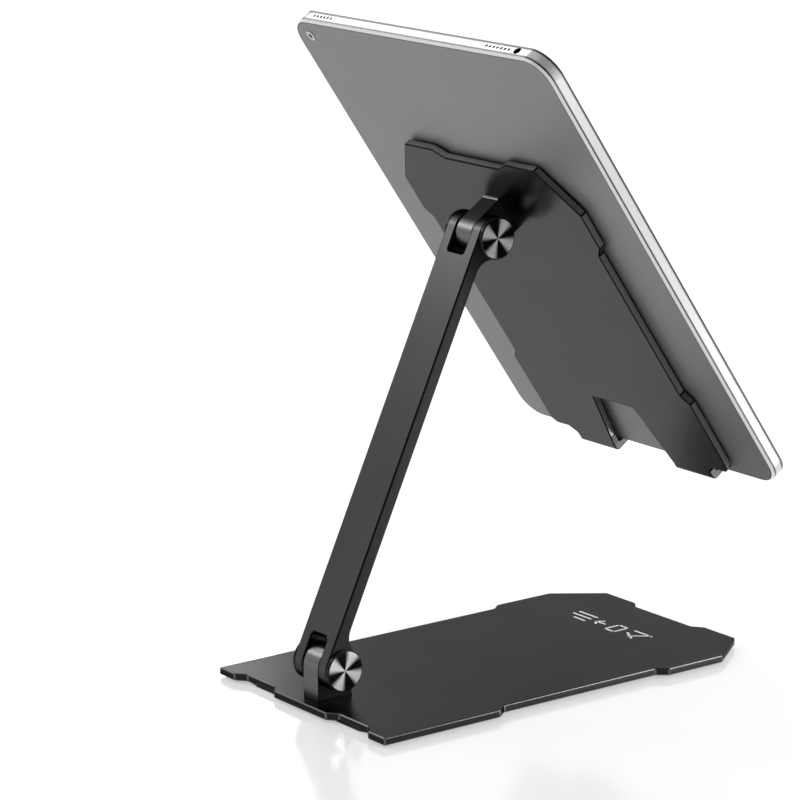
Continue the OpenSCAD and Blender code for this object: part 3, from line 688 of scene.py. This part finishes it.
for loop in loops:
    ring = [border.verts.new(tablet_point(x, y, glass_back - behind_glass)) for x, y in loop]
    rims += [border.edges.new((ring[i], ring[(i + 1) % len(ring)])) for i in range(len(ring))]
bmesh.ops.triangle_fill(border, use_beauty=True, use_dissolve=False, edges=rims, normal=out)
raised = bmesh.ops.extrude_face_region(border, geom=border.faces[:])
bmesh.ops.translate(border, vec=out * border_t,
                    verts=[v for v in raised["geom"] if isinstance(v, bmesh.types.BMVert)])
bmesh.ops.recalc_face_normals(border, faces=border.faces)
border_black, tree, shader = new_material("border_black", Roughness=0.35)
tree.links.new(mix_colour(tree, noise_node(tree, piece_position(tree), scale=500.0),
                          (0.004, 0.004, 0.004), (0.008, 0.008, 0.009)),
               shader.inputs["Base Color"])
mesh_piece("glass_border_print", border, "tablet", border_black)

panel_light, picture, shader = new_material("panel_light", Base_Color=(0.005, 0.005, 0.006),
                                            Roughness=0.3, Emission_Strength=1.2)
lie = place_group(picture, on_tablet, Position=piece_position(picture))
flat = picture.nodes.new("ShaderNodeCombineXYZ")
picture.links.new(lie["Across"], flat.inputs["X"])
picture.links.new(lie["Along"], flat.inputs["Y"])


def picture_noise(offset, scale, detail, roughness=0.55):
    place = vector_node(picture, "ADD", flat.outputs[0], offset)
    return noise_node(picture, place, scale, detail, roughness)


# the ridge line: one high peak and two lower, each with its place across the screen, its
# height and its slope, broken by noise
peaks = ((0.012, 0.192, 1.25), (-0.058, 0.150, 0.85), (0.082, 0.140, 0.7))
crag_height, skyline_blur = 0.06, 0.0012
rock_place, toward_light = (0.3, 0.1, 0), (0.3018, 0.0990, 0)
ridge = 0.0
for peak_across, peak_height, slope in peaks:
    away = math_node(picture, "ABSOLUTE",
                     math_node(picture, "SUBTRACT", lie["Across"], peak_across))
    ridge = math_node(picture, "MAXIMUM",
                      math_node(picture, "MULTIPLY_ADD", away, -slope, peak_height), ridge)
crags = picture_noise(rock_place, scale=34.0, detail=8.0, roughness=0.62)
ridge = math_node(picture, "MULTIPLY_ADD", math_node(picture, "SUBTRACT", crags, noise_middle),
                  crag_height, ridge)
rock = value_range(picture, math_node(picture, "SUBTRACT", ridge, lie["Along"]),
                   0.0, skyline_blur)
# light from the upper left on broken rock, with blue shade between
relief = {"scale": 46.0, "detail": 9.0, "roughness": 0.62}
relief_contrast, large_shade_place = 5.0, (0.7, 0.4, 0)
lit = math_node(picture, "SUBTRACT", picture_noise(rock_place, **relief),
                picture_noise(toward_light, **relief))
lit = math_node(picture, "MULTIPLY_ADD", lit, relief_contrast,
                picture_noise(large_shade_place, scale=16.0, detail=5.0))
tones = picture.nodes.new("ShaderNodeValToRGB")
picture.links.new(lit, tones.inputs["Fac"])
stops = ((0.25, (0.006, 0.016, 0.05)), (0.42, (0.06, 0.045, 0.05)), (0.52, (0.42, 0.21, 0.035)),
         (0.66, (0.88, 0.52, 0.06)), (0.85, (1.0, 0.80, 0.32)))
while len(tones.color_ramp.elements) < len(stops):
    tones.color_ramp.elements.new(0.5)
for element, (position, tone) in zip(tones.color_ramp.elements, stops):
    element.position, element.color = position, (*tone, 1)
valley_shade, low_sky, high_sky = (0.010, 0.030, 0.090), (0.004, 0.20, 0.55), (0.002, 0.09, 0.34)
valley = value_range(picture, lie["Along"], low=0.02, high=0.11, smooth=True)
mountain = mix_colour(picture, valley, valley_shade, tones.outputs["Color"])
climb = value_range(picture, lie["Along"], low=0.10, high=0.22)
sky_tone = mix_colour(picture, climb, low_sky, high_sky)
picture.links.new(mix_colour(picture, rock, sky_tone, mountain), shader.inputs["Emission Color"])
finish_node("tablet_display_panel", panel_light)

# ---------------------------------------------------------------- Inside the tablet
# Two wrapped pouch cells, a green circuit board with a tinned shield, speakers, sockets,
# switches and cameras. They are fixed in the shell, behind the panel.
cell_wrap = rubber("cell_wrap", tone=0.16)
board_green, tree, shader = new_material("board_green", Roughness=0.4)
tracks = tree.nodes.new("ShaderNodeTexBrick")
tree.links.new(piece_position(tree), tracks.inputs["Vector"])
tracks.inputs["Scale"].default_value = 260.0
for socket, tone in (("Color1", (0.01, 0.09, 0.045)), ("Color2", (0.012, 0.12, 0.06)),
                     ("Mortar", (0.35, 0.28, 0.08))):
    tracks.inputs[socket].default_value = (*tone, 1)
tree.links.new(tracks.outputs["Color"], shader.inputs["Base Color"])
tin = plated_steel("tin", (0.72, 0.72, 0.70), roughness=0.3)
socket_black = rubber("socket_black", tone=0.03)


def clear_lens(name, roughness, coat, grain, dark, light):
    material, tree, shader = new_material(name, Roughness=roughness, Coat_Weight=coat)
    mottle = noise_node(tree, piece_position(tree), scale=grain)
    tree.links.new(mix_colour(tree, mottle, dark, light), shader.inputs["Base Color"])
    return material


lens_black = clear_lens("lens_black", roughness=0.04, coat=1.0, grain=300.0,
                        dark=(0.002, 0.002, 0.004), light=(0.006, 0.006, 0.012))
flash_amber = clear_lens("flash_amber", roughness=0.2, coat=0.6, grain=2600.0,
                         dark=(0.05, 0.045, 0.03), light=(0.16, 0.14, 0.09))
ring_bright = plated_steel("ring_bright", (0.45, 0.45, 0.46), roughness=0.25)
for node, material in (("tablet_battery_cells", cell_wrap), ("tablet_main_board", board_green),
                       ("tablet_shield_can", tin), ("tablet_charge_port", tin),
                       ("tablet_speakers", socket_black), ("tablet_audio_jack", socket_black),
                       ("tablet_switch_strip", socket_black), ("tablet_camera", lens_black),
                       ("tablet_front_camera", lens_black), ("tablet_flash_lens", flash_amber),
                       ("tablet_camera_ring", ring_bright)):
    finish_node(node, material)
